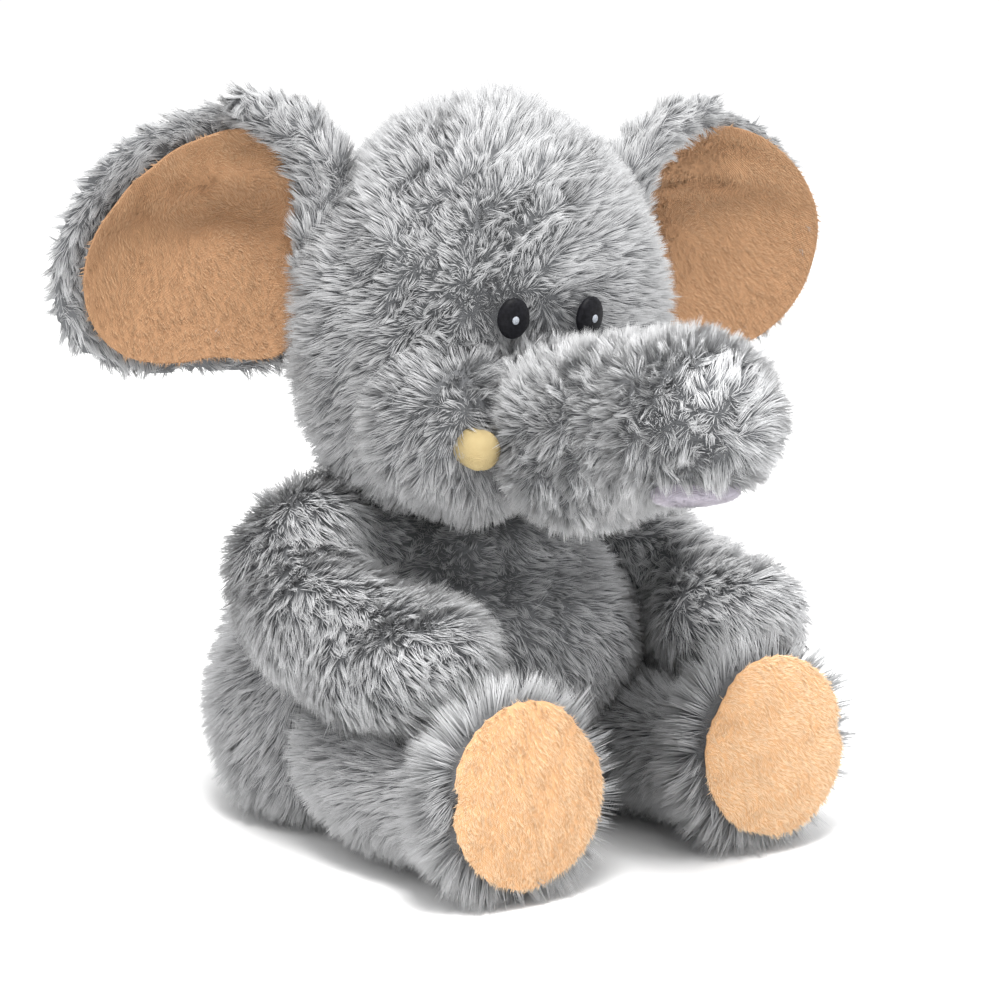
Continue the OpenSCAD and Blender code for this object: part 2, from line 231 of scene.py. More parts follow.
def knitMaterial(name, colour, dark, scale, depth, roughness=0.85):  # knitted backing cloth
    m, t, l, shader = newMaterial(name)
    coord = t.new("ShaderNodeTexCoord")
    wave = addNode(t, "ShaderNodeTexWave", bands_direction="DIAGONAL")
    wave.inputs["Scale"].default_value = scale
    wave.inputs["Distortion"].default_value = 2.5
    noise = t.new("ShaderNodeTexNoise")
    noise.inputs["Scale"].default_value = scale * 0.25
    noise.inputs["Detail"].default_value = 4
    for n in (wave, noise):
        l.new(coord.outputs["Object"], n.inputs["Vector"])
    mix = addNode(t, "ShaderNodeMix", data_type="RGBA")
    mix.inputs[6].default_value = (*colour, 1)
    mix.inputs[7].default_value = (*dark, 1)
    l.new(noise.outputs["Fac"], mix.inputs["Factor"])
    l.new(mix.outputs[2], shader.inputs["Base Color"])
    bump = t.new("ShaderNodeBump")
    bump.inputs["Strength"].default_value = 0.5
    bump.inputs["Distance"].default_value = depth
    l.new(wave.outputs["Fac"], bump.inputs["Height"])
    l.new(bump.outputs["Normal"], shader.inputs["Normal"])
    shader.inputs["Roughness"].default_value = roughness
    return m


greyBacking = knitMaterial("greyBacking", (0.15, 0.154, 0.16), (0.11, 0.114, 0.12), 900, 0.0004)
peachBacking = knitMaterial("peachBacking", (0.70, 0.41, 0.21), (0.62, 0.35, 0.17), 900, 0.0003)
# the ear lining's backing: a darker copy of the peach backing, as painted shade in the ear's cup
paintedShadeLiningBacking = knitMaterial("paintedShadeLiningBacking", (0.36, 0.20, 0.10), (0.30, 0.16, 0.08), 900, 0.0003)
lilacBacking = knitMaterial("lilacBacking", (0.33, 0.31, 0.36), (0.26, 0.24, 0.28), 900, 0.0003)
creamBacking = knitMaterial("creamBacking", (0.44, 0.35, 0.18), (0.36, 0.27, 0.12), 1300, 0.0003)
fibreFill = knitMaterial("fibreFill", (0.82, 0.82, 0.80), (0.62, 0.62, 0.60), 260, 0.001)
cottonCloth = knitMaterial("cottonCloth", (0.74, 0.70, 0.60), (0.62, 0.58, 0.48), 1500, 0.0003)
print("materials made")

# ---- pile: strands stamped from one modelled strand ----
strandModel = {"sides": 3, "flat": 0.6, "ringAt": 0.78}


def modelStrand(cuts):  # one tapered strand, one long, with a ring part of the way up if it has a cut
    bpy.ops.object.select_all(action="DESELECT")
    bpy.ops.mesh.primitive_cone_add(
        vertices=strandModel["sides"], radius1=1, radius2=0, depth=1, location=(0, 0, 0))
    o = bpy.context.object
    if cuts:
        bpy.ops.object.mode_set(mode="EDIT")
        bpy.ops.mesh.select_mode(type="EDGE")
        bpy.ops.mesh.select_all(action="DESELECT")
        bpy.ops.object.mode_set(mode="OBJECT")
        for e in o.data.edges:
            a, b = (o.data.vertices[i].co.z for i in e.vertices)
            e.select = abs(a - b) > 0.5
        bpy.ops.object.mode_set(mode="EDIT")
        bpy.ops.mesh.subdivide(number_cuts=cuts)
        bpy.ops.mesh.select_mode(type="VERT")
        bpy.ops.mesh.select_all(action="SELECT")
        bpy.ops.mesh.quads_convert_to_tris()
        bpy.ops.object.mode_set(mode="OBJECT")
    v, f, n = readMesh(o)
    bpy.data.objects.remove(o)
    v[:, 2] += 0.5
    v[(v[:, 2] > 0.4) & (v[:, 2] < 0.6), 2] = strandModel["ringAt"]
    return v, f


fineStrand = modelStrand(0)
print("strand modelled:", len(fineStrand[1]), "faces")


def leanRows(a, soft=0.6):  # unit directions, fading out where there is no clear one
    return a / np.maximum(np.linalg.norm(a, axis=1, keepdims=True), soft)


def waves(p, size, seed, many=5):  # smooth wandering of a direction over the cloth
    rng = np.random.default_rng(seed)
    out = np.zeros((len(p), 3))
    for k in range(many):
        way = rng.normal(size=3)
        way *= (0.6 + 0.8 * rng.random()) * 2 * math.pi / (size * np.linalg.norm(way))
        out += np.sin(p @ way + rng.random() * 6.283)[:, None] * rng.normal(size=3)
    return out / math.sqrt(many)


def bendPath(root, way, normal, length, stand, lie, t):  # a strand that leans over along its length
    c0, s0, c1, s1 = np.cos(stand), np.sin(stand), np.cos(lie), np.sin(lie)
    along = length * (t * c0 + t * t * (c1 - c0) / 2)
    up = length * (t * s0 + t * t * (s1 - s0) / 2)
    return root + way * along[:, None] + normal * up[:, None]


def growPile(skin, coat, comb, keep=None):
    strandShape, strandFaces = fineStrand
    v, f, vn = readMesh(skin)
    rng = np.random.default_rng(coat["seed"])
    corners = v[f]
    area = np.linalg.norm(np.cross(corners[:, 1] - corners[:, 0], corners[:, 2] - corners[:, 0]), axis=1) / 2
    middle = corners.mean(axis=1)
    faceNormal = unitRows(vn[f].mean(axis=1))
    share = area * (1 if keep is None else keep(middle, faceNormal))
    count = int(share.sum() * 1e4 * coat["perCm2"])
    pick = rng.choice(len(f), count, p=share / share.sum())
    a, b = rng.random((2, count))
    fold = a + b > 1
    a[fold], b[fold] = 1 - a[fold], 1 - b[fold]
    bary = np.stack([1 - a - b, a, b], axis=1)
    root = (corners[pick] * bary[:, :, None]).sum(axis=1)
    normal = unitRows((vn[f[pick]] * bary[:, :, None]).sum(axis=1))
    root = root - normal * 0.0004

    def settle(p, n, turn, seed):  # the way that the pile lies at a root
        way = comb(p, n) + waves(p, coat["swirl"], seed) * turn
        return leanRows(way - n * (way * n).sum(axis=1, keepdims=True))

    way = settle(root, normal, coat["wander"], coat["seed"])
    jitter = rng.normal(size=(count, 3)) * coat["fray"]
    way = leanRows(way + jitter - normal * (jitter * normal).sum(axis=1, keepdims=True))
    lengthHere = coat["length"] if np.isscalar(coat["length"]) else coat["length"](root, normal)
    length = lengthHere * rng.uniform(1 - coat["uneven"], 1 + coat["uneven"], count)
    stand = np.radians(coat["stand"]) + rng.normal(size=count) * 0.12
    lie = np.radians(coat["lie"]) + rng.normal(size=count) * 0.18

    # locks: the strands round a lock's middle lean together towards its tip
    locks = max(1, count // coat["perLock"])
    tree = kdtree.KDTree(locks)
    for i in range(locks):
        tree.insert(root[i], i)
    tree.balance()
    owner = np.array([tree.find(p)[1] for p in root])
    lockTurn = rng.normal(size=(locks, 3)) * coat["lockTurn"]
    lockWay = way[:locks] + lockTurn
    lockWay = leanRows(lockWay - normal[:locks] * (lockWay * normal[:locks]).sum(axis=1, keepdims=True))
    lockStand = stand[:locks] + rng.normal(size=locks) * 0.15
    lockLie = lie[:locks] + rng.normal(size=locks) * coat["lockLift"]
    lockLength = length[:locks] * rng.uniform(0.8, 1.15, locks)
    lockShade = rng.random(locks)
    near = np.linalg.norm(root - root[owner], axis=1)
    pull = coat["gather"] * np.exp(-((near / coat["lockReach"]) ** 2))
    side = unitRows(np.cross(normal, way))
    curl = rng.uniform(-1, 1, count) * coat["curl"]

    k = len(strandShape)
    places = np.zeros((count, k, 3))
    rings = {}
    for z in np.unique(strandShape[:, 2].round(4)):
        t = float(z)
        own = bendPath(root, way, normal, length, stand, lie, t)
        tip = bendPath(
            root[:locks], lockWay, normal[:locks], lockLength, lockStand, lockLie, t)[owner]
        shift = (tip - own) * (pull * t ** 0.9)[:, None]
        rings[t] = own + shift + side * (curl * math.sin(t * 3.1) * length)[:, None]
    order = sorted(rings)
    for j, (x, y, z) in enumerate(strandShape):
        t = float(round(z, 4))
        i = order.index(t)
        run = unitRows(rings[order[min(i + 1, len(order) - 1)]] - rings[order[max(i - 1, 0)]])
        up = unitRows(np.cross(run, side))
        wide = coat["width"] * (1 - 0.35 * t)
        r = math.hypot(x, y) or 1
        places[:, j] = rings[t] + wide * (side * (x / r) + up * (y / r) * strandModel["flat"])
        if t > 0.999:
            places[:, j] = rings[t]
    places[:, :, 2] = np.maximum(places[:, :, 2], 0.0003)  # pressed flat by the floor
    lock = np.ones((count, k, 4), np.float32)
    lock[:, :, 0] = strandShape[:, 2][None]
    # painted light: a coat's set amount is added to every lock's tone, making that pile lighter
    lock[:, :, 1] = lockShade[owner][:, None] + coat.get("lift", 0)
    lock[:, :, 2] = rng.random(count)[:, None]
    faces = strandFaces[None] + (np.arange(count) * k)[:, None, None]
    own = unitRows((places - np.stack([rings[float(round(z, 4))] for z in strandShape[:, 2]], axis=1)).reshape(-1, 3))
    soft = coat["soft"]
    strandNormals = unitRows(own * (1 - soft) + np.repeat(normal[:, None], k, axis=1).reshape(-1, 3) * soft)
    return places.reshape(-1, 3), faces.reshape(-1, 3), lock.reshape(-1, 4), strandNormals.reshape(-1, 3)


def coatPiece(name, skin, piles, materials):  # skin and strands as one piece
    v, f, vn = readMesh(skin)
    v[:, 2] = np.maximum(v[:, 2], 0.0002)
    allV, allF, allLock, allN, slots = [v], [f], [np.zeros((len(v), 4), np.float32)], [vn], [np.zeros(len(f))]
    allLock[0][:, 3] = 1
    base = len(v)
    for places, faces, lock, normals in piles:
        allV.append(places)
        allF.append(faces + base)
        allLock.append(lock)
        allN.append(normals)
        slots.append(np.ones(len(faces)))
        base += len(places)
    v, f, lock = np.concatenate(allV), np.concatenate(allF), np.concatenate(allLock)
    me = bpy.data.meshes.new(name)
    me.vertices.add(len(v))
    me.vertices.foreach_set("co", v.astype(np.float32).ravel())
    me.loops.add(len(f) * 3)
    me.loops.foreach_set("vertex_index", f.astype(np.int32).ravel())
    me.polygons.add(len(f))
    me.polygons.foreach_set("loop_start", (np.arange(len(f)) * 3).astype(np.int32))
    me.polygons.foreach_set("loop_total", np.full(len(f), 3, np.int32))
    me.polygons.foreach_set("material_index", np.concatenate(slots).astype(np.int32))
    me.update(calc_edges=True)
    me.attributes.new("lock", "FLOAT_COLOR", "POINT").data.foreach_set("color", lock.ravel())
    me.shade_smooth()
    me.normals_split_custom_set_from_vertices(np.concatenate(allN))
    for m in materials:
        me.materials.append(m)
    o = bpy.data.objects.new(name, me)
    bpy.context.collection.objects.link(o)
    bpy.data.objects.remove(skin)
    return o


# ---- skins: the stuffed cloth under the pile ----
def biggestShell(o):  # drops inner shells, such as a hollow for a pouch
    selectOnly(o)
    bpy.ops.object.mode_set(mode="EDIT")
    bpy.ops.mesh.select_all(action="SELECT")
    bpy.ops.mesh.remove_doubles(threshold=1e-5)
    bpy.ops.mesh.separate(type="LOOSE")
    bpy.ops.object.mode_set(mode="OBJECT")
    shells = sorted(bpy.context.selected_objects, key=lambda s: -s.dimensions.length)
    for s in shells[1:]:
        bpy.data.objects.remove(s)
    return shells[0]


def addBall(at, r, stretch=(1, 1, 1)):
    bpy.ops.object.select_all(action="DESELECT")
    bpy.ops.mesh.primitive_uv_sphere_add(segments=24, ring_count=16, radius=r, location=at, scale=stretch)
    o = bpy.context.object
    bpy.ops.object.transform_apply(location=True, rotation=True, scale=True)
    return o


def joinAll(name, parts):
    selectOnly(*parts)
    if len(parts) > 1:
        bpy.ops.object.join()
    parts[0].name = name
    return parts[0]


def roughen(o, size, depth, seed):  # the uneven feel of hand filling
    v, f, n = readMesh(o)
    lump = waves(v, size, seed)[:, :1] * depth
    o.data.vertices.foreach_set("co", (v + n * lump).ravel())
    o.data.update()


def stuffSkin(name, cadNames, setup, balls=(), own=None):
    parts = []
    for node in cadNames:
        o = bpy.data.objects.new(node + "Copy", nodes[node].data.copy())
        o.data.materials.clear()
        bpy.context.collection.objects.link(o)
        parts.append(biggestShell(o))
    if own:
        parts.append(own)
    for at, r in balls:
        parts.append(addBall(at, r * mm))
    o = joinAll(name + "Skin", parts)
    applyModifier(o, "REMESH", mode="VOXEL", voxel_size=setup["voxel"])
    if setup["grow"]:
        applyModifier(o, "DISPLACE", strength=setup["grow"], mid_level=0)
    applyModifier(o, "SMOOTH", factor=0.6, iterations=setup["smooth"])
    if setup.get("puff"):
        puffSkin(o, setup)
    if setup.get("lumps"):
        roughen(o, 34 * mm, setup["lumps"], len(name))
    return o


def puffSkin(o, setup):  # the filling presses the cloth outward
    rest = readMesh(o)[0]
    selectOnly(o)
    m = o.modifiers.new("cloth", "CLOTH")
    m.settings.quality = 4
    m.settings.use_pressure = True
    m.settings.uniform_pressure_force = setup["puff"]
    m.settings.effector_weights.gravity = 0
    for step in range(1, 16):
        bpy.context.scene.frame_set(step)
    bpy.ops.object.modifier_apply(modifier=m.name)
    bpy.context.scene.frame_set(1)
    moved = readMesh(o)[0] - rest
    far = np.linalg.norm(moved, axis=1, keepdims=True)
    moved *= np.minimum(1, setup["cap"] / np.maximum(far, 1e-9))
    o.data.vertices.foreach_set("co", (rest + moved).ravel())
    o.data.update()


def finishPiece(o, replaced):
    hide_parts(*replaced)
    print(o.name, "has", len(o.data.polygons), "faces")
    return o


def finishCoat(name, skin, coat, comb, keep, replaced, materials=None):
    pile = growPile(skin, coat, comb, keep)
    o = coatPiece(name, skin, [pile], materials or [greyBacking, greyPile])
    return finishPiece(o, replaced)


longPile = {
    "perCm2": 215, "length": 8 * mm, "uneven": 0.18, "width": 0.2 * mm, "stand": 76, "lie": 50,
    "swirl": 15 * mm, "wander": 0.45, "fray": 0.18, "perLock": 24, "gather": 0.75, "soft": 0.8,
    "lockReach": 2.4 * mm, "lockTurn": 0.8, "lockLift": 0.4, "curl": 0.0, "seed": 1,
    "slot": "grey_pile",
}
shortPile = {
    "perCm2": 400, "length": 2.4 * mm, "uneven": 0.25, "width": 0.17 * mm, "stand": 66, "lie": 26,
    "swirl": 14 * mm, "wander": 0.5, "fray": 0.3, "perLock": 10, "gather": 0.5, "soft": 0.4,
    "lockReach": 1.3 * mm, "lockTurn": 0.35, "lockLift": 0.25, "curl": 0.0, "seed": 2,
}


def coatOf(**changes):
    return {**longPile, **changes}


def near(p, at, reach):  # 1 at a place, fading to 0 at reach
    away = np.linalg.norm(p - np.array(at), axis=1)
    return np.clip(1 - away / reach, 0, 1)


# torso
fullness = [(Vector((side * x, y, z)) * mm, r) for side in (-1, 1)
            for x, y, z, r in ((33, -14, 92, 25), (17, -44, 62, 30), (6, -46, 62, 31))]
torsoSetup = {"voxel": 5 * mm, "grow": 2.0 * mm, "smooth": 6, "puff": 3, "cap": 3 * mm, "lumps": 1.2 * mm}


def torsoComb(p, n):
    return np.tile(np.array([0, 0, -1.0]), (len(p), 1)) + n * 0.3


def torsoLength(p, n):  # shorter on the belly
    belly = np.clip((-n[:, 1] - 0.3) / 0.5, 0, 1)
    return (9.5 - 3 * belly) * mm


def torsoKeep(p, n):  # little pile under the seat, on the neck, and under the arms and legs
    keep = np.ones(len(p))
    keep[p[:, 2] < 5 * mm] = 0.35
    keep[p[:, 2] > 112 * mm] = 0.25
    aside = np.abs(p[:, 0])
    keep[(np.hypot(aside - 0.048, p[:, 2] - 0.031) < 0.027) & (p[:, 1] < -0.03)] = 0.2
    keep[np.linalg.norm(np.stack([aside, p[:, 1], p[:, 2]], axis=1) - [0.058, -0.024, 0.091], axis=1) < 0.02] = 0.2
    return keep


torso = finishCoat(
    "torso_coat", stuffSkin("torso", ["torso_stuffing"], torsoSetup, fullness),
    coatOf(seed=11, perCm2=185, width=0.215 * mm, wander=0.4, length=torsoLength, lie=30, lockTurn=0.5), torsoComb, torsoKeep,
    ["torso_cover", "torso_stuffing"])
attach(torso, "torso")

# head, with the muzzle's fullness round the trunk's root
headSetup = {"voxel": 4.5 * mm, "grow": 5.2 * mm, "smooth": 6, "puff": 3, "cap": 3 * mm, "lumps": 0.8 * mm}
muzzle = [(onHead(side * x, y, z), r) for side in (-1, 1) for x, y, z, r in ((17, -27, 135, 21), (31, -34, 139, 19))]
eyeSpot = {"across": 13.8, "aside": -2.0, "forward": -44.6, "up": 173.2}
eyes = {s: np.array(onHead(s * eyeSpot["across"] + eyeSpot["aside"], eyeSpot["forward"], eyeSpot["up"])) for s in (-1, 1)}
faceMiddle = np.array(onHead(0, -48, 172))


def headComb(p, n):  # away from the middle of the face, and down
    return unitRows(p - faceMiddle) * 0.9 + np.array([0, 0, -0.45])


def headLength(p, n):  # shorter round the eyes and the trunk's root
    eyeArea = np.maximum(near(p, eyes[-1], 16 * mm), near(p, eyes[1], 16 * mm))
    return (7.2 - 3.2 * eyeArea - 2.2 * near(p, onHead(0, -40, 143), 34 * mm)) * mm


def headKeep(p, n):
    keep = np.ones(len(p))
    keep[np.linalg.norm(p - np.array(onHead(0, -35, 143)), axis=1) < 20 * mm] = 0
    keep[np.linalg.norm(p - np.array([0, -30, 86]) * mm, axis=1) < 40 * mm] = 0.25
    for eye in eyes.values():
        keep[np.linalg.norm(p - eye, axis=1) < 5.5 * mm] = 0
    return keep


head = finishCoat(
    "head_coat", stuffSkin("head", ["head_stuffing"], headSetup, muzzle),
    coatOf(seed=21, perCm2=195, width=0.21 * mm, wander=0.7, swirl=13 * mm, lockTurn=0.9, lie=58, length=headLength), headComb,
    headKeep, ["head_cover", "head_stuffing"])
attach(head, "head")

# trunk: one cloth over both of its lengths
trunkSetup = {"voxel": 3.5 * mm, "grow": 3.4 * mm, "smooth": 6, "puff": 2, "cap": 2 * mm, "lumps": 0.8 * mm}
trunkBalls = [(-67, 139, 23.5), (-86, 145, 21.5), (-106, 149, 20.5), (-124, 153, 21), (-134, 154.5, 18.5)]
trunkForward = headWay(0, -1, 0)
trunkTipMiddle = np.array(onHead(0, -140, 152))
trunkDisc = onHead(0, -132, 132)


def trunkComb(p, n):  # forward along the trunk, and outward over its round end
    face = np.clip((n @ trunkForward - 0.5) / 0.35, 0, 1)[:, None]
    return trunkForward * (1 - face) + unitRows(p - trunkTipMiddle) * face * 1.2 + n * 0.2


def trunkKeep(p, n):  # the smooth disc has no long pile over it
    keep = np.ones(len(p))
    keep[np.linalg.norm(p - np.array(trunkDisc), axis=1) < 14.5 * mm] = 0
    return keep


# the trunk's pile is made lighter with painted light
trunk = finishCoat(
    "trunk_coat",
    stuffSkin("trunk", ["trunk_root_stuffing"], trunkSetup, [(onHead(0, y, z), r) for y, z, r in trunkBalls]),
    coatOf(seed=31, length=7.5 * mm, wander=0.4, stand=72, lie=42, lift=1.8), trunkComb, trunkKeep,
    ["trunk_root_cover", "trunk_root_stuffing", "trunk_tip_cover", "trunk_tip_stuffing"])
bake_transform(trunk)

# arms
armSetup = {"voxel": 4 * mm, "grow": 2.6 * mm, "smooth": 4, "puff": 2, "cap": 2.5 * mm, "lumps": 1.0 * mm}
forearm = [(54, -19, 98, 16), (60, -21, 88, 20), (63, -29, 81, 20), (64, -42, 76, 19), (66, -60, 68, 17), (62, -76, 68, 16.5), (55, -86, 69, 14)]
farHand = [(63, -96, 72, 13.5)]
for sideName, s in toySides.items():
    handX = 51 if s < 0 else 58
    way = np.array([(handX - 58) * s, -63, -15.5])
    way /= np.linalg.norm(way)

    def armComb(p, n, way=way, s=s):
        return way + np.array([0.2 * s, 0, -0.45])

    # the arms' pile is made lighter with painted light
    arm = finishCoat(
        sideName + "_arm_coat",
        stuffSkin(sideName + "Arm", [sideName + "_arm_stuffing"], armSetup,
                  [(Vector((x * s, y, z)) * mm, r) for x, y, z, r in forearm + (farHand if s > 0 else [])]),
        coatOf(seed=41 + s, wander=0.3, swirl=30 * mm, length=9.5 * mm, stand=55, lie=24, lockTurn=0.45, lift=1.0), armComb, None,
        [sideName + "_arm_cover", sideName + "_arm_stuffing"])
    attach(arm, sideName + "_arm")

# legs: the pile stands out round the sole like a fringe
legSetup = {"voxel": 4 * mm, "grow": 2.6 * mm, "smooth": 3, "puff": 2, "cap": 2.5 * mm, "lumps": 1.0 * mm}
for sideName, s in toySides.items():
    soleMiddle = np.array([50 * s, -127, 35]) * mm

    def legComb(p, n, sole=soleMiddle):
        out = p - sole
        out[:, 1] = 0
        rim = np.clip((-100 * mm - p[:, 1]) / (18 * mm), 0, 1)[:, None]
        return (unitRows(out) + np.array([0, 0.25, 0])) * rim + np.array([0, 0.7, -0.7]) * (1 - rim)

    def legLength(p, n):
        return (9 + 5 * np.clip((-100 * mm - p[:, 1]) / (18 * mm), 0, 1)) * mm

    def legKeep(p, n, sole=soleMiddle):  # the pad covers the middle of the sole
        keep = np.ones(len(p))
        away = np.hypot(p[:, 0] - sole[0], p[:, 2] - sole[2])
        keep[(away < 26 * mm) & (p[:, 1] < -114 * mm)] = 0
        keep[p[:, 2] < 4 * mm] *= 0.5
        return keep

    leg = finishCoat(
        sideName + "_leg_coat",
        stuffSkin(sideName + "Leg", [sideName + "_leg_stuffing"], legSetup),
        coatOf(seed=51 + s, wander=0.4, swirl=28 * mm, length=legLength), legComb, legKeep,
        [sideName + "_leg_cover", sideName + "_leg_stuffing"])
    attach(leg, sideName + "_leg")

# foot pads
padShape = {"radius": 29, "thick": 4.5, "dome": 4.5, "at": (50, -123.5, 35), "lean": 4,
            "notches": ((0.1, 0.09, 0.14), (2.5, 0.06, 0.3), (4.4, 0.03, 0.2))}
for sideName, s in toySides.items():
    bpy.ops.object.select_all(action="DESELECT")
    bpy.ops.mesh.primitive_uv_sphere_add(segments=72, ring_count=36, radius=1)
    pad = bpy.context.object
    v, f, n = readMesh(pad)
    v = np.stack([v[:, 0], v[:, 2], v[:, 1]], axis=1)[:, [0, 1, 2]]
    turn = np.arctan2(v[:, 2], v[:, 0] * s)
    out = np.hypot(v[:, 0], v[:, 2])
    edge = np.ones(len(v))
    for at, depth, wide in padShape["notches"]:  # where the seam pulls the edge in
        gap = np.angle(np.exp(1j * (turn - at)))
        edge -= depth * np.exp(-((gap / wide) ** 2))
    pucker = 1 + 0.012 * np.sin(turn * 31) * out ** 6
    flat = np.sign(v[:, 1]) * np.abs(v[:, 1]) ** 0.8 * padShape["thick"] / 2
    flat -= padShape["dome"] * (1 - out ** 2) * 0.6
    flat += 0.25 * np.sin(turn * 31) * out ** 8 * np.abs(v[:, 1])
    placed = np.stack([
        v[:, 0] * padShape["radius"] * edge * pucker, flat, v[:, 2] * padShape["radius"] * edge * pucker], axis=1)
    pad.data.vertices.foreach_set("co", (placed * mm).ravel())
    x, y, z = padShape["at"]
    place = Matrix.Translation(Vector((x * s, y, z)) * mm) @ Matrix.Rotation(math.radians(-padShape["lean"]), 4, "X")
    pad.data.transform(place)
    pad.data.flip_normals()
    pad.data.update()

    def padComb(p, n, s=s):
        return np.tile(np.array([0.6 * s, 0, -1.0]), (len(p), 1))

    def padKeep(p, n):
        return np.where(n[:, 1] < 0.1, 1.0, 0.0)

    coat = {**shortPile, "seed": 81 + s, "slot": "peach_pile"}
    pad = finishCoat(
        sideName + "_foot_pad_pile", pad, coat, padComb, padKeep, [sideName + "_foot_pad"],
        [peachBacking, peachPile])
    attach(pad, sideName + "_leg")

# ears: a furry back with its top rolled over the lining's inner edge, and a cupped lining
earShape = {
    "right": {"sweep": 0.24, "cup": 10, "back": [
        (60, 151), (88, 149.5), (106, 147.5), (122, 151), (132, 161), (136, 175), (133, 191), (127, 206),
        (114, 220), (96, 230), (80, 235), (66, 230), (57, 214), (55, 190), (55, 170)],
        "lining": [
        (62, 155), (85, 155), (100, 152), (114, 154), (123, 162), (127, 175), (125, 189), (118, 201),
        (107, 213), (91, 223), (78, 227), (68, 221), (61, 205), (60, 188), (60, 170)],
        "folds": [((56, 205), (106, 197), 4.5, 17, 13), ((62, 216), (108, 206), 8, 6, -5),
        ((60, 192), (66, 158), 9, 9, 9)],
        "rolls": [(59, 184, 5), (57, 195, 7), (54, 206, 9), (56, 217, 9.5), (62, 226, 8.5),
        (71, 230, 7), (80, 233, 5.5)]},
    "left": {"sweep": 0.06, "cup": 10, "back": [
        (60, 154), (88, 152), (110, 152), (124, 158), (134, 168), (140, 182), (141, 196), (136, 210),
        (125, 222), (110, 230), (92, 233), (75, 230), (62, 220), (55, 200), (55, 175)],
        "lining": [
        (62, 157), (88, 152), (108, 153), (122, 159), (133, 169), (139, 183), (140, 196), (134, 208),
        (122, 219), (107, 226), (91, 227), (77, 222), (66, 211), (60, 195), (60, 175)],
        "folds": [((60, 213), (126, 209), 6, 5, -5), ((58, 205), (122, 201), 4, 14, 8),
        ((84, 226), (90, 212), 3, 3, 4), ((97, 228), (101, 214), 3, 3, 3), ((62, 190), (66, 160), 8, 8, 6)],
        "rolls": [(58, 190, 5.5), (57, 202, 8), (58, 213, 9), (65, 222, 8), (76, 229, 7), (88, 232, 5.5)]},
}
earMiddle = (93, 190)


def roundOutline(points, turn):  # radius of an outline at each turn round the ear's middle
    d = np.array(points, float) - earMiddle
    at = np.arctan2(d[:, 1], d[:, 0])
    order = np.argsort(at)
    at, reach = at[order], np.hypot(d[:, 0], d[:, 1])[order]
    at = np.concatenate([at - 2 * math.pi, at, at + 2 * math.pi])
    reach = np.tile(reach, 3)
    out = np.zeros(len(turn))
    for k in (-0.12, -0.06, 0, 0.06, 0.12):
        out += np.interp(turn + k, at, reach) / 5
    return out


def earSheet(shape, outline, thick, y0, s, rings):  # a pillow-like sheet on the ear's curved plane
    bpy.ops.object.select_all(action="DESELECT")
    bpy.ops.mesh.primitive_uv_sphere_add(segments=rings * 3, ring_count=rings, radius=1)
    o = bpy.context.object
    v, f, n = readMesh(o)
    turn = np.arctan2(v[:, 1], v[:, 0])
    p = np.hypot(v[:, 0], v[:, 1])
    p = np.sin(np.arcsin(np.clip(p, 0, 1)) ** 1.0)
    reach = roundOutline(shape[outline], turn) * p
    u, z = earMiddle[0] + reach * np.cos(turn), earMiddle[1] + reach * np.sin(turn)
    y = 12 + (u - 56) * shape["sweep"] + shape["cup"] * (1 - p ** 2) + y0
    for a, b, wideAbove, wideBelow, deep in shape["folds"]:
        a, b = np.array(a, float), np.array(b, float)
        q = np.stack([u, z], axis=1)
        t = np.clip(((q - a) @ (b - a)) / ((b - a) @ (b - a)), 0, 1)
        away = np.linalg.norm(q - a - t[:, None] * (b - a), axis=1)
        above = (b - a)[0] * (q - a)[:, 1] - (b - a)[1] * (q - a)[:, 0] > 0
        away = away / np.where(above, wideAbove, wideBelow)
        y += deep * np.exp(-(away ** 2)) * (1 - t * 0.85) * (1 - p ** 6)
    y += np.sign(v[:, 2]) * np.abs(v[:, 2]) ** 0.5 * thick / 2
    o.data.vertices.foreach_set("co", (np.stack([u * s, y, z], axis=1) * mm).ravel())
    o.data.transform(headMatrix)
    selectOnly(o)
    bpy.ops.object.mode_set(mode="EDIT")
    bpy.ops.mesh.select_all(action="SELECT")
    bpy.ops.mesh.normals_make_consistent(inside=False)
    bpy.ops.object.mode_set(mode="OBJECT")
    return o


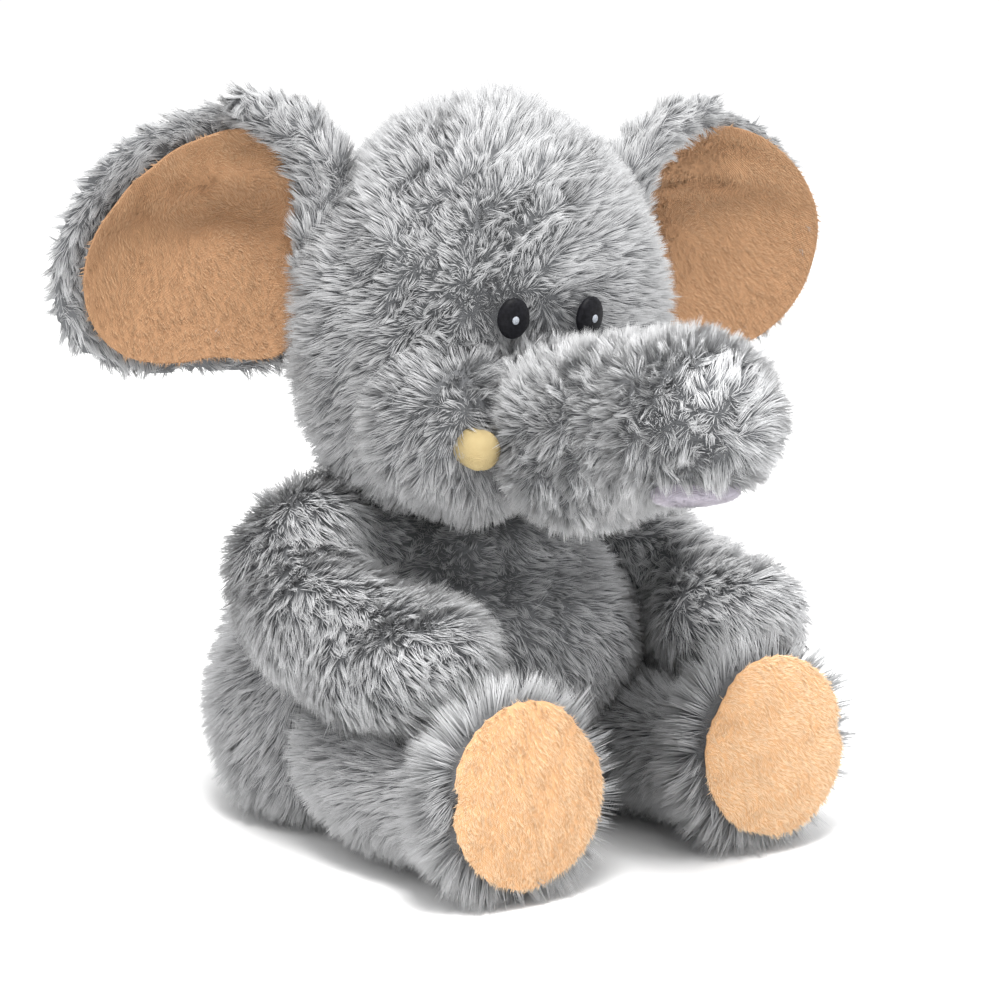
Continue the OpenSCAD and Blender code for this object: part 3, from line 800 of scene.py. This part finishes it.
earSetup = {"voxel": 2.6 * mm, "grow": 0, "smooth": 3}
for sideName, s in toySides.items():
    shape = earShape[sideName]
    backWay = headWay(0.2 * s, 1, 0)
    middle = np.array(onHead(earMiddle[0] * s, 22, earMiddle[1]))
    toHead = np.array(headMatrix.inverted().to_3x3())

    def earComb(p, n, middle=middle, back=backWay, s=s):  # back, and down along the rim
        out = unitRows(p - middle)
        return out * 0.35 + back * 0.55 - s * np.cross(out, back) * 0.8

    def earKeep(p, n, shape=shape, s=s, back=backWay):  # none under the lining
        own = (p - np.array(onHead(0, 0, 0))) @ toHead.T / mm
        d = np.stack([own[:, 0] * s, own[:, 2]], axis=1) - earMiddle
        onPlate = own[:, 1] > 9 + (own[:, 0] * s - 56) * shape["sweep"]
        inside = onPlate & (np.hypot(d[:, 0], d[:, 1]) < roundOutline(shape["lining"], np.arctan2(d[:, 1], d[:, 0])) - 4)
        return np.where(inside & (n @ back < 0), 0.0, 1.0)

    rolls = [(onHead(u * s, 8 + (u - 56) * shape["sweep"], z), r) for u, z, r in shape["rolls"]]
    skin = stuffSkin(sideName + "Ear", [], earSetup, rolls, earSheet(shape, "back", 5.5, 3, s, 24))
    ear = finishCoat(
        sideName + "_ear_coat", skin, coatOf(seed=61 + s, wander=0.4, swirl=22 * mm, length=7 * mm, stand=42, lie=18, perCm2=250),
        earComb, earKeep, [sideName + "_ear_back"])
    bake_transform(ear)

    def liningComb(p, n, middle=middle):
        return unitRows(p - middle) + np.array([0, 0, -0.8])

    def liningKeep(p, n, back=backWay):
        return np.where(n @ back < 0.15, 1.0, 0.0)

    # the lining uses the peach cloth painted darker: painted shade in the ear's cup
    lining = finishCoat(
        sideName + "_ear_lining_pile", earSheet(shape, "lining", 2.4, -1.6, s, 30),
        {**shortPile, "seed": 91 + s, "perCm2": 260, "slot": "peach_pile"}, liningComb, liningKeep,
        [sideName + "_ear_lining", sideName + "_ear_batting"], [paintedShadeLiningBacking, paintedShadeLiningPile])
    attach(lining, sideName + "_ear")

# tail
tailSetup = {"voxel": 2.5 * mm, "grow": 2.6 * mm, "smooth": 2}


def tailComb(p, n):
    return np.tile(np.array([0, 1, -0.4]), (len(p), 1))


tail = finishCoat(
    "tail_coat", stuffSkin("tail", ["tail_stuffing"], tailSetup), coatOf(seed=71, length=8 * mm, perCm2=260),
    tailComb, None, ["tail_cover", "tail_stuffing"])
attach(tail, "tail")

# disc under the trunk's tip
discShape = {"radius": 13.5, "thick": 5, "tilt": -12}
bpy.ops.object.select_all(action="DESELECT")
bpy.ops.mesh.primitive_uv_sphere_add(segments=48, ring_count=24, radius=1)
disc = bpy.context.object
v, f, n = readMesh(disc)
v[:, 2] = np.sign(v[:, 2]) * np.abs(v[:, 2]) ** 0.6
disc.data.vertices.foreach_set(
    "co", (v * np.array([discShape["radius"], discShape["radius"], discShape["thick"]]) * mm).ravel())
disc.data.transform(
    Matrix.Translation(trunkDisc + Vector((0, 0, 0.0005))) @ headMatrix.to_3x3().to_4x4()
    @ Matrix.Rotation(math.radians(discShape["tilt"]), 4, "X"))


def discComb(p, n):
    return unitRows(p - np.array(trunkDisc))


disc = finishCoat(
    "trunk_tip_pad_pile", disc, {**shortPile, "seed": 95, "length": 1.3 * mm, "slot": "lilac_pile"},
    discComb, lambda p, n: np.where(n[:, 2] < 0.2, 1.0, 0.0), ["trunk_tip_pad"],
    [lilacBacking, lilacPile])
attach(disc, "trunk_tip")

# tusks: short velvet, with a seam along the side
tuskShape = {"radius": 6.4, "length": 21, "at": (34.2, -31, 137.5), "reach": 29.5, "pitch": 6, "yaw": -3}
for sideName, s in toySides.items():
    bpy.ops.object.select_all(action="DESELECT")
    bpy.ops.mesh.primitive_uv_sphere_add(segments=40, ring_count=28, radius=1)
    tusk = bpy.context.object
    v, f, n = readMesh(tusk)
    long = tuskShape["length"]
    seam = 1 - 0.05 * np.exp(-((np.abs(v[:, 0]) / 0.12) ** 2))
    rOut = tuskShape["radius"] * seam
    y = -tuskShape["reach"] + np.where(v[:, 2] > 0, -v[:, 2] * tuskShape["radius"], -v[:, 2] * long)
    around = np.hypot(v[:, 0], v[:, 1])
    full = np.where(v[:, 2] > 0, around, np.minimum(1, around ** 0.35))
    k = full / np.maximum(around, 1e-6)
    tusk.data.vertices.foreach_set("co", (np.stack([v[:, 0] * k * rOut, y, v[:, 1] * k * rOut], axis=1) * mm).ravel())
    x, yy, z = tuskShape["at"]
    turn = Matrix.Rotation(math.radians(tuskShape["yaw"] * s), 4, "Z") @ Matrix.Rotation(math.radians(tuskShape["pitch"]), 4, "X")
    tusk.data.transform(headMatrix @ Matrix.Translation(Vector((x * s, yy, z)) * mm) @ turn)
    selectOnly(tusk)
    bpy.ops.object.mode_set(mode="EDIT")
    bpy.ops.mesh.select_all(action="SELECT")
    bpy.ops.mesh.normals_make_consistent(inside=False)
    bpy.ops.object.mode_set(mode="OBJECT")
    tusk = finishCoat(
        sideName + "_tusk_velvet", tusk,
        {**shortPile, "seed": 97 + s, "length": 0.6 * mm, "width": 0.1 * mm, "perCm2": 300, "slot": "cream_felt"},
        lambda p, n: np.tile(trunkForward, (len(p), 1)), None, [sideName + "_tusk_cover", sideName + "_tusk_stuffing"],
        [creamBacking, creamPile])
    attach(tusk, "head")

# eyes: satin stitch, with a small thread spot
satin, t, l, shader = newMaterial("blackSatin")
coord = t.new("ShaderNodeTexCoord")
grainNoise = t.new("ShaderNodeTexNoise")
grainNoise.inputs["Scale"].default_value = 900
l.new(coord.outputs["Object"], grainNoise.inputs["Vector"])
tone = ramp(t, [(0.3, (0.002, 0.002, 0.003)), (0.75, (0.010, 0.010, 0.013))])
l.new(grainNoise.outputs["Fac"], tone.inputs["Fac"])
l.new(tone.outputs["Color"], shader.inputs["Base Color"])
shader.inputs["Roughness"].default_value = 0.5
shader.inputs["Specular IOR Level"].default_value = 0.12
whiteThread = knitMaterial("whiteThread", (0.38, 0.41, 0.45), (0.26, 0.28, 0.32), 2500, 0.0001, 0.6)
eyeShape = {"half": (5.2, 2.6, 6.5), "stitch": 0.07, "pitch": 0.55, "spot": (1.1, 0.6, 1.3)}
for sideName, s in toySides.items():
    for part, half, offset, material, slot in (
        ("eye", eyeShape["half"], (0, 0, 0), satin, "black_thread"),
        ("eye_highlight", eyeShape["spot"], (0, -eyeShape["half"][1] + 0.1, -0.1), whiteThread, "white_thread"),
    ):
        bpy.ops.object.select_all(action="DESELECT")
        bpy.ops.mesh.primitive_uv_sphere_add(segments=64, ring_count=64 if part == "eye" else 24, radius=1)
        o = bpy.context.object
        v, f, n = readMesh(o)
        places = v * np.array(half)
        places[:, 1] += np.sin(places[:, 2] * 2 * math.pi / eyeShape["pitch"]) * eyeShape["stitch"] * np.abs(v[:, 1])
        o.data.vertices.foreach_set("co", ((places + np.array(offset)) * mm).ravel())
        turn = Matrix.Rotation(math.radians(12 * s), 4, "Z") @ Matrix.Rotation(math.radians(6), 4, "X")
        spot = Vector((eyeSpot["across"] * s + eyeSpot["aside"], eyeSpot["forward"] - 3.6, eyeSpot["up"])) * mm
        o.data.transform(headMatrix @ Matrix.Translation(spot) @ turn)
        o.name = o.data.name = f"{sideName}_{part}_stitched"
        o.data.materials.append(material)
        o.data.shade_smooth()
        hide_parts(f"{sideName}_{part}")
        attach(o, "head")

# care label, behind
labelShape = {"wide": 24, "tall": 18, "at": (40, 70, 14), "turn": -28}
bpy.ops.object.select_all(action="DESELECT")
bpy.ops.mesh.primitive_grid_add(x_subdivisions=24, y_subdivisions=18, size=1)
label = bpy.context.object
v, f, n = readMesh(label)
x, z = v[:, 0] * labelShape["wide"], v[:, 1] * labelShape["tall"]
y = 1.2 * np.sin(x / 24 * 3.0) + 0.5 * np.sin(z / 5)
label.data.vertices.foreach_set("co", (np.stack([y, x, z], axis=1) * mm).ravel())
label.data.transform(
    Matrix.Translation(Vector(labelShape["at"]) * mm + Vector((0, -0.001, 0.006)))
    @ Matrix.Rotation(math.radians(labelShape["turn"]), 4, "Z"))
applyModifier(label, "SOLIDIFY", thickness=0.4 * mm, offset=0)
label.name = label.data.name = "care_label_cloth"
label.data.materials.append(cottonCloth)
label.data.shade_smooth()
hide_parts("care_label")
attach(label, "torso")

for node, o in nodes.items():
    finish = fibreFill if node == "neck_plug" else cottonCloth
    for k in range(len(o.material_slots)):
        o.material_slots[k].material = finish

# ---- floor ----
bpy.ops.object.select_all(action="DESELECT")
bpy.ops.mesh.primitive_plane_add(size=8, location=(0, 0, 0))
floor = bpy.context.object
floor.name = "floor"
floorMaterial, t, l, shader = newMaterial("floorPaper")
shader.inputs["Base Color"].default_value = (0.97, 0.97, 0.97, 1)
shader.inputs["Roughness"].default_value = 1
shader.inputs["Specular IOR Level"].default_value = 0
floor.data.materials.append(floorMaterial)
